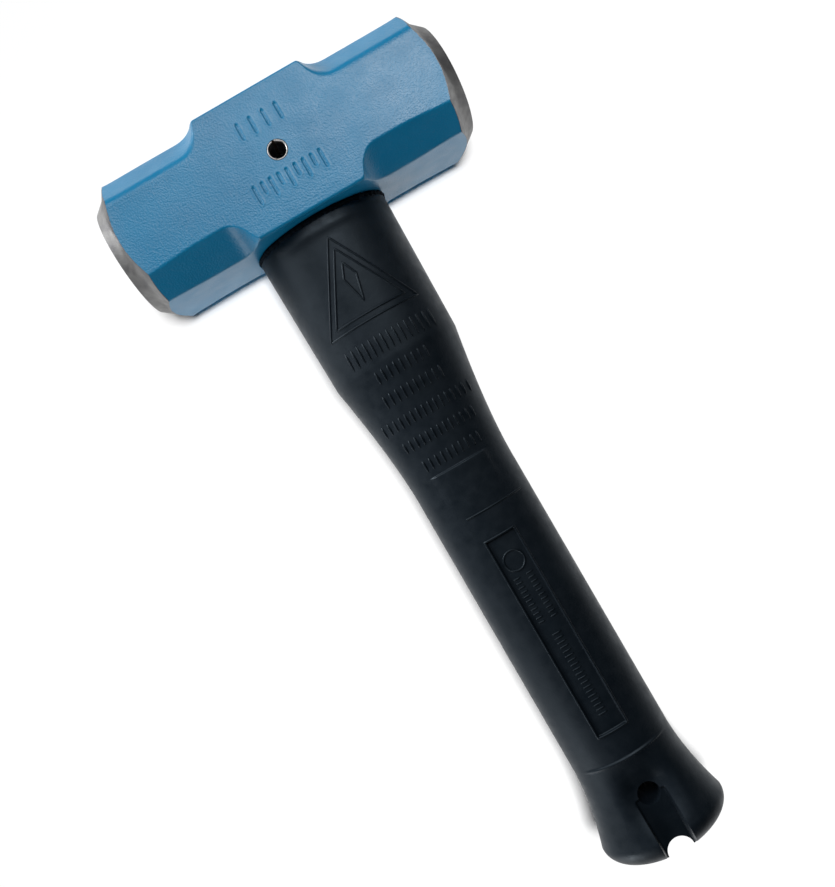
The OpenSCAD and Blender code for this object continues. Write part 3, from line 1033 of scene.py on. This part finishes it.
plate = smooth(build_safety_plate(), 35)
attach(plate, "root")
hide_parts("safety_plate")

for number, (x, z) in enumerate(ROD_PLACES, 1):
    profile = [(HALF - 0.02, 0.8), (HALF - 0.15, 1.7), (HALF - 0.5, 2.3), (HALF - 0.9, ROD_RADIUS),
               (-ROD_END + 0.6, ROD_RADIUS), (-ROD_END, ROD_RADIUS - 0.6)]
    rod = smooth(turned(f"steel_rod_{number}", profile, (x, 0, z), "y", 32, ROD_STEEL), 35)
    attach(rod, "root")
    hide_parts(f"core_rod_{number}")

for name in ("neck_spacer", "mid_spacer", "end_plate"):
    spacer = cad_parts[name]
    spacer.data.materials.clear()
    spacer.data.materials.append(PLATE_STEEL)
print("core:", len(ROD_PLACES), "rods and 4 plates")

# %% [markdown]
# ## The stage
# The hammer lies on its back cheek on a pale floor. The camera looks straight down from above the handle's
# neck, turned so that the handle runs from upper left to lower right. A soft panel high above the head's top
# gives most of the light, and three lower ones shape the left side. A narrow panel, placed where the right
# arm mirrors it to the camera, gives that arm its sheen, and a weaker copy of it serves the handle. The floor
# has a panel of its own, straight above, and light linking keeps the others off it. So the floor is an even
# white, with shadows only close under the hammer, and its white doesn't flood the dark rubber.

# %% Floor, camera and lights
def add_floor():
    mesh = bpy.data.meshes.new("floor")
    mesh.from_pydata([(-3, -3, 0), (3, -3, 0), (3, 3, 0), (-3, 3, 0)], [], [(0, 1, 2, 3)])
    floor = add_object("floor", mesh)
    material, _, shader, _ = new_material("pale_floor")
    shader.inputs["Base Color"].default_value = (0.9, 0.9, 0.9, 1.0)
    shader.inputs["Roughness"].default_value = 0.8
    mesh.materials.append(material)
    return floor


def add_camera():
    data = bpy.data.cameras.new("camera")
    camera = add_object("camera", data)
    data.lens = 32.67
    place = HEAD + Vector((-8.7, -110.1, 290.1)) * MM
    tilt, roll = Matrix.Rotation(math.radians(0.44), 4, "X"), Matrix.Rotation(math.radians(-30.09), 4, "Z")
    camera.matrix_world = Matrix.Translation(place) @ tilt @ roll
    bpy.context.scene.camera = camera


def add_panel(name, place, target, size_x, size_y, watts):
    """A soft panel at a place, facing the target, with its width as near along X as it can be."""
    data = bpy.data.lights.new(name, "AREA")
    data.shape = "RECTANGLE"
    data.size, data.size_y = size_x, size_y
    data.energy = watts
    light = add_object(name, data)
    back = (Vector(place) - Vector(target)).normalized()
    side = (Vector((1, 0, 0)) - back * back.x).normalized()
    axes = Matrix((side, back.cross(side), back)).transposed()
    light.matrix_world = Matrix.Translation(place) @ axes.to_4x4()
    return light


def link_light(light, piece, state):
    """INCLUDE keeps a light to one object, and EXCLUDE keeps it off that object."""
    targets = bpy.data.collections.new(light.name + "_targets")
    targets.objects.link(piece)
    targets.collection_objects[0].light_linking.link_state = state
    light.light_linking.receiver_collection = targets


def add_world():
    world = bpy.data.worlds.new("dim_room")
    bpy.context.scene.world = world
    world.use_nodes = True
    background = world.node_tree.nodes["Background"]
    background.inputs["Color"].default_value = (0.9, 0.95, 1.0, 1.0)
    background.inputs["Strength"].default_value = 0.02


floor = add_floor()
add_camera()
add_world()
MIDDLE = (0, 0.03, 0.02)
PANELS = {"high_panel": ((0, 0.8, 1.07), 5.2), "left_high_panel": ((-0.78, 0.81, 0.71), 2.4),
          "left_panel": ((-1.0, 0.82, 0.29), 11), "left_back_panel": ((-0.9, -0.87, 0.29), 4.6)}
for name, (place, watts) in PANELS.items():
    link_light(add_panel(name, place, MIDDLE, 0.55, 0.55, watts), floor, "EXCLUDE")
for name, piece, watts in (("head_sheen_panel", head, 6.2), ("handle_sheen_panel", handle, 2.0)):
    sheen_panel = add_panel(name, (0.4, 0.6, 1.2), HEAD, 0.36, 0.14, watts)
    link_light(sheen_panel, piece, "INCLUDE")
floor_panel = add_panel("floor_panel", (0.05, -0.05, 1.9), (0.05, -0.05, 0), 0.5, 0.5, 42)
link_light(floor_panel, floor, "INCLUDE")
bpy.context.scene.view_settings.view_transform = "Standard"
print("camera and lights are in place")
